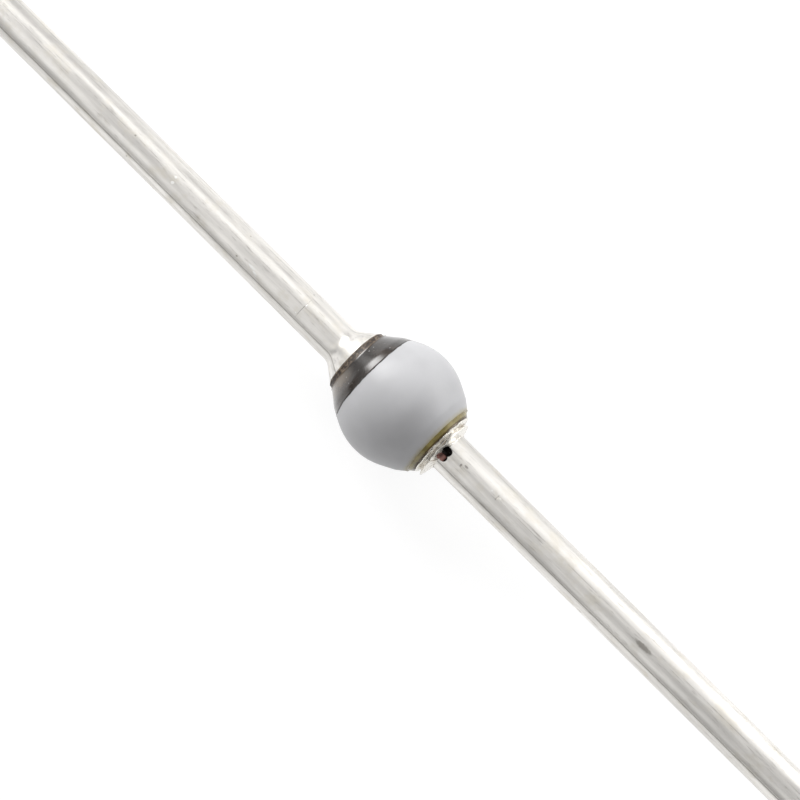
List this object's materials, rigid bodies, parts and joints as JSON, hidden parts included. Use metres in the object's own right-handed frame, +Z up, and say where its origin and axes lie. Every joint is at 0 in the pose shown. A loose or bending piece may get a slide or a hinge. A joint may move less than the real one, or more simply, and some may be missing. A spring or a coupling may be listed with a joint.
{
  "type": "axial rectifier diode",
  "caption": "Axial rectifier diode: round sintered-glass bead, grey enamel with a dark cathode band, and thick straight plated copper leads.",
  "frame": {"origin": "centre of the bead on the lead axis, midway between the two lead tips", "axes": "+X along the lead axis towards the anode lead's tip, the dark cathode band is on the -X side, +Z up"},
  "size_m": [0.056, 0.0038, 0.0038],
  "materials": {
    "plated_wire": "drawn copper wire, silver plated, with fine draw marks along it",
    "molybdenum": "ground",
    "silicon": "etched",
    "aluminium_bond": "alloyed",
    "silver_braze": "frozen as it flowed, lumpy and bright",
    "amber_glass": "sintered, dark amber to olive, opaque",
    "grey_enamel": "satin light grey enamel, fused on",
    "band_ink": "glossy brown-black marking ink"
  },
  "bodies": {
    "root": {"cathode_lead": "plated_wire", "anode_lead": "plated_wire", "cathode_stud": "molybdenum", "anode_stud": "molybdenum", "silicon_die": "silicon", "cathode_bond": "aluminium_bond", "anode_bond": "aluminium_bond", "cathode_braze": "silver_braze", "anode_braze": "silver_braze", "glass_bead": "amber_glass", "body_coat": "grey_enamel", "cathode_band": "band_ink"}
  },
  "joints": []
}
